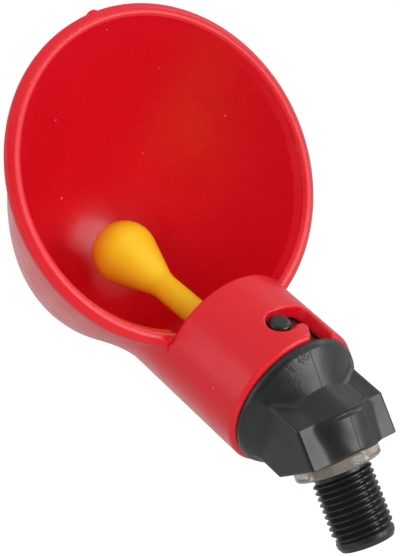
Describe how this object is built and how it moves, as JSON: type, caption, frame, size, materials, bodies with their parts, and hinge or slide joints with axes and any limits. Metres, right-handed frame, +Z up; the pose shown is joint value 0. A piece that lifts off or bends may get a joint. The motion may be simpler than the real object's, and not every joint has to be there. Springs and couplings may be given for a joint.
{
  "type": "poultry drinking cup",
  "caption": "Round drinking bowl with a bayonet sleeve, locked on an angled threaded fitting that holds a tilting trigger valve.",
  "frame": {"origin": "start of the thread, on its axis, 0.3 mm past the sealing washer's outer face", "axes": "+Y along the thread into the water line, +Z up with the bowl's rim level, X across"},
  "size_m": [0.0572, 0.0946, 0.0593],
  "materials": {
    "cup_plastic": "glossy injection-moulded polypropylene",
    "fitting_plastic": "satin black moulded plastic",
    "trigger_plastic": "smooth yellow moulded plastic",
    "washer_silicone": "milky translucent silicone",
    "seal_rubber": "smooth black rubber",
    "spring_steel": "stainless spring wire"
  },
  "bodies": {
    "fitting": {"elbow_body": "fitting_plastic", "sealing_washer": "washer_silicone", "seat_seal": "seal_rubber", "seat_retainer": "fitting_plastic", "return_spring": "spring_steel"},
    "cup": {"drinking_cup": "cup_plastic"},
    "trigger": {"trigger": "trigger_plastic"}
  },
  "joints": [
    {"name": "trigger_tilt", "type": "hinge", "parent": "fitting", "child": "trigger", "pos_m": [0, -0.02441, -0.0105], "axis": [1, 0, 0], "range_deg": [-2.4, 8], "stiffness_Nm_per_rad": 0.02, "springref_deg": -0.6, "deforming": ["return_spring"]},
    {"name": "cup_twist", "type": "hinge", "parent": "fitting", "child": "cup", "pos_m": [0, -0.0074, 0], "axis": [0, 0.7071, 0.7071], "range_deg": [0, 25]}
  ]
}
